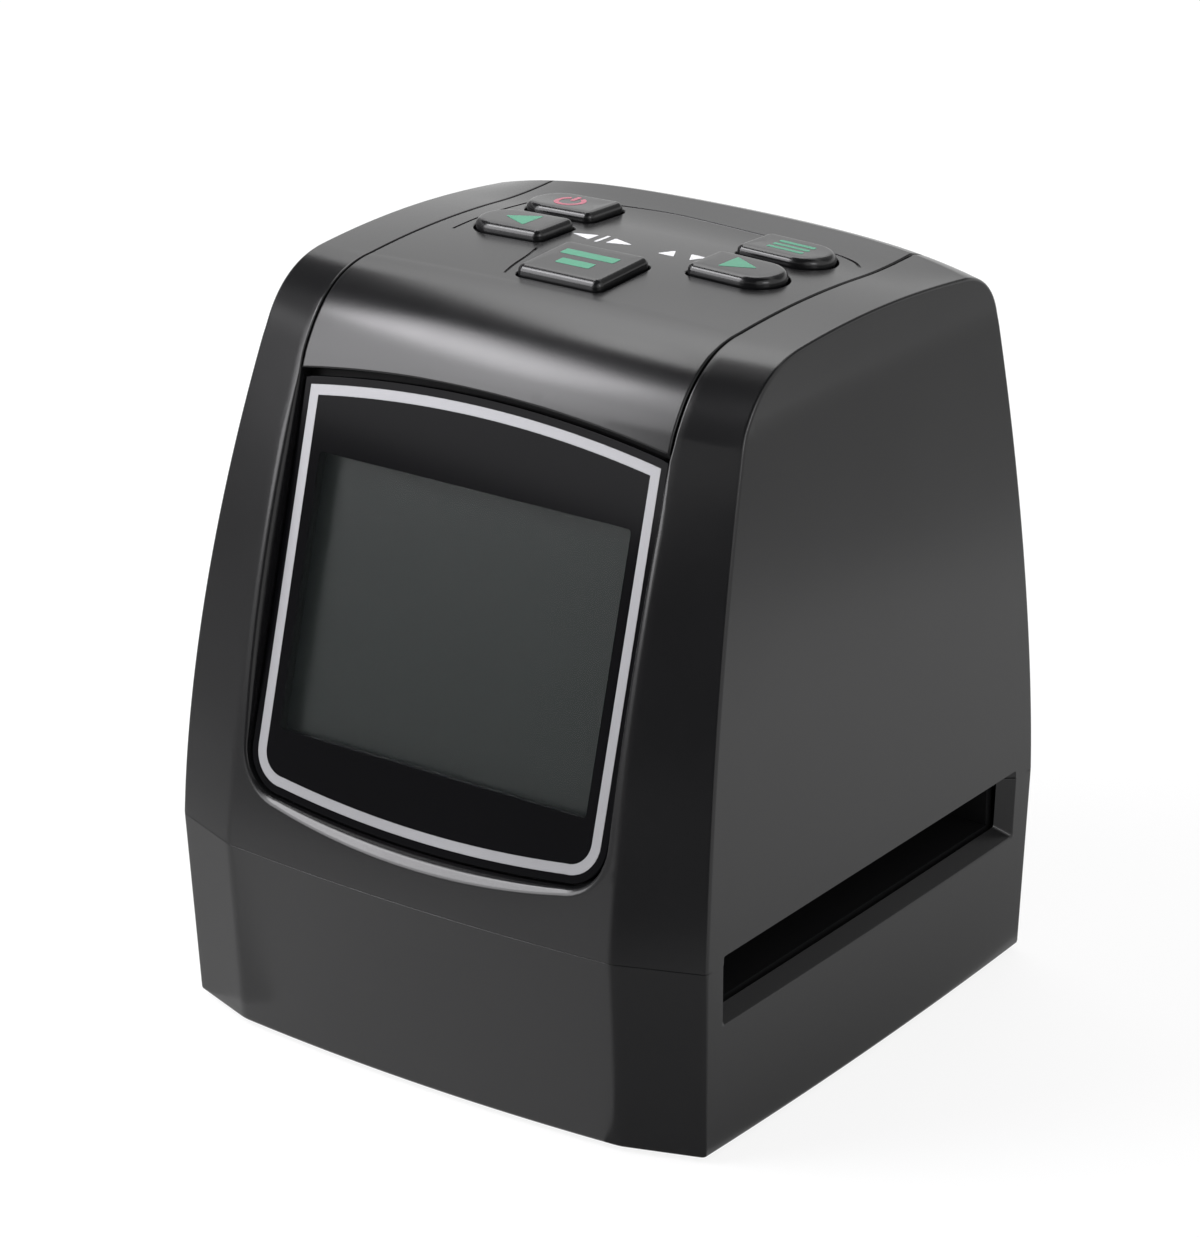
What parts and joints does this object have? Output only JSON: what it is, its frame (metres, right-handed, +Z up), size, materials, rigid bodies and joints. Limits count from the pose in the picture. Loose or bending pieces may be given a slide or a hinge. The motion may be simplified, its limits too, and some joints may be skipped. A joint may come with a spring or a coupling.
{
  "type": "film negative scanner",
  "caption": "Upright desktop scanner for film strips: leaning screen under a black window, arched top with push buttons, and a slot from side to side for a film holder.",
  "frame": {"origin": "centre of the footprint, at the height of the feet undersides", "axes": "+X to the right of someone facing the screen, along the film slot; +Y from the screen side to the rear; +Z up"},
  "size_m": [0.0868, 0.0882, 0.1061],
  "materials": {
    "casing": "satin charcoal",
    "buttons": "satin black",
    "window": "glossy black",
    "screen": "dark grey-green, unlit",
    "inner_black": "matt black",
    "circuit_board": "green solder mask",
    "chips": "matt",
    "steel": "plain",
    "rubber": "matt black",
    "diffuser": "milky white",
    "light_white": "white",
    "light_chip": "amber",
    "lens_glass": "polished"
  },
  "bodies": {
    "case": {"base_shell": "casing", "upper_shell": "casing", "top_cover": "casing", "foot_front_left": "rubber", "foot_front_right": "rubber", "foot_rear_left": "rubber", "foot_rear_right": "rubber", "case_screw_front_left": "steel", "case_screw_front_right": "steel", "case_screw_rear_left": "steel", "case_screw_rear_right": "steel", "display_screw_upper_left": "steel", "display_screw_upper_right": "steel", "display_screw_lower_left": "steel", "display_screw_lower_right": "steel", "board_screw_front_left": "steel", "board_screw_front_right": "steel", "board_screw_rear_left": "steel", "board_screw_rear_right": "steel", "card_slot": "steel", "usb_socket": "steel", "display_lens": "window", "lcd_panel": "screen", "lcd_frame": "inner_black", "film_track": "inner_black", "film_gate": "inner_black", "optical_hood": "inner_black", "lens_holder": "inner_black", "lens_barrel": "inner_black", "display_board": "circuit_board", "button_board": "circuit_board", "sensor_board": "circuit_board", "main_board": "circuit_board", "video_jack": "buttons", "power_switch": "chips", "left_switch": "chips", "scan_switch": "chips", "right_switch": "chips", "menu_switch": "chips", "image_sensor": "chips", "processor_chip": "chips", "memory_chip": "chips", "backlight_diffuser": "diffuser", "light_box": "light_white", "light_board": "light_white", "backlight_led_1": "light_chip", "backlight_led_2": "light_chip", "backlight_led_3": "light_chip", "backlight_led_4": "light_chip", "objective_lens": "lens_glass"},
    "power_key": {"power_button": "buttons", "power_plunger": "buttons"},
    "left_key": {"left_button": "buttons", "left_plunger": "buttons"},
    "scan_key": {"scan_button": "buttons", "scan_plunger": "buttons"},
    "right_key": {"right_button": "buttons", "right_plunger": "buttons"},
    "menu_key": {"menu_button": "buttons", "menu_plunger": "buttons"}
  },
  "joints": [
    {"name": "power_press", "type": "slide", "parent": "case", "child": "power_key", "axis": [0, 0, -1], "range_m": [0, 0.0008], "stiffness_N_per_m": 1500},
    {"name": "left_press", "type": "slide", "parent": "case", "child": "left_key", "axis": [0, 0, -1], "range_m": [0, 0.0008], "stiffness_N_per_m": 1500},
    {"name": "scan_press", "type": "slide", "parent": "case", "child": "scan_key", "axis": [0, 0, -1], "range_m": [0, 0.0008], "stiffness_N_per_m": 1500},
    {"name": "right_press", "type": "slide", "parent": "case", "child": "right_key", "axis": [0, 0, -1], "range_m": [0, 0.0008], "stiffness_N_per_m": 1500},
    {"name": "menu_press", "type": "slide", "parent": "case", "child": "menu_key", "axis": [0, 0, -1], "range_m": [0, 0.0008], "stiffness_N_per_m": 1500}
  ]
}
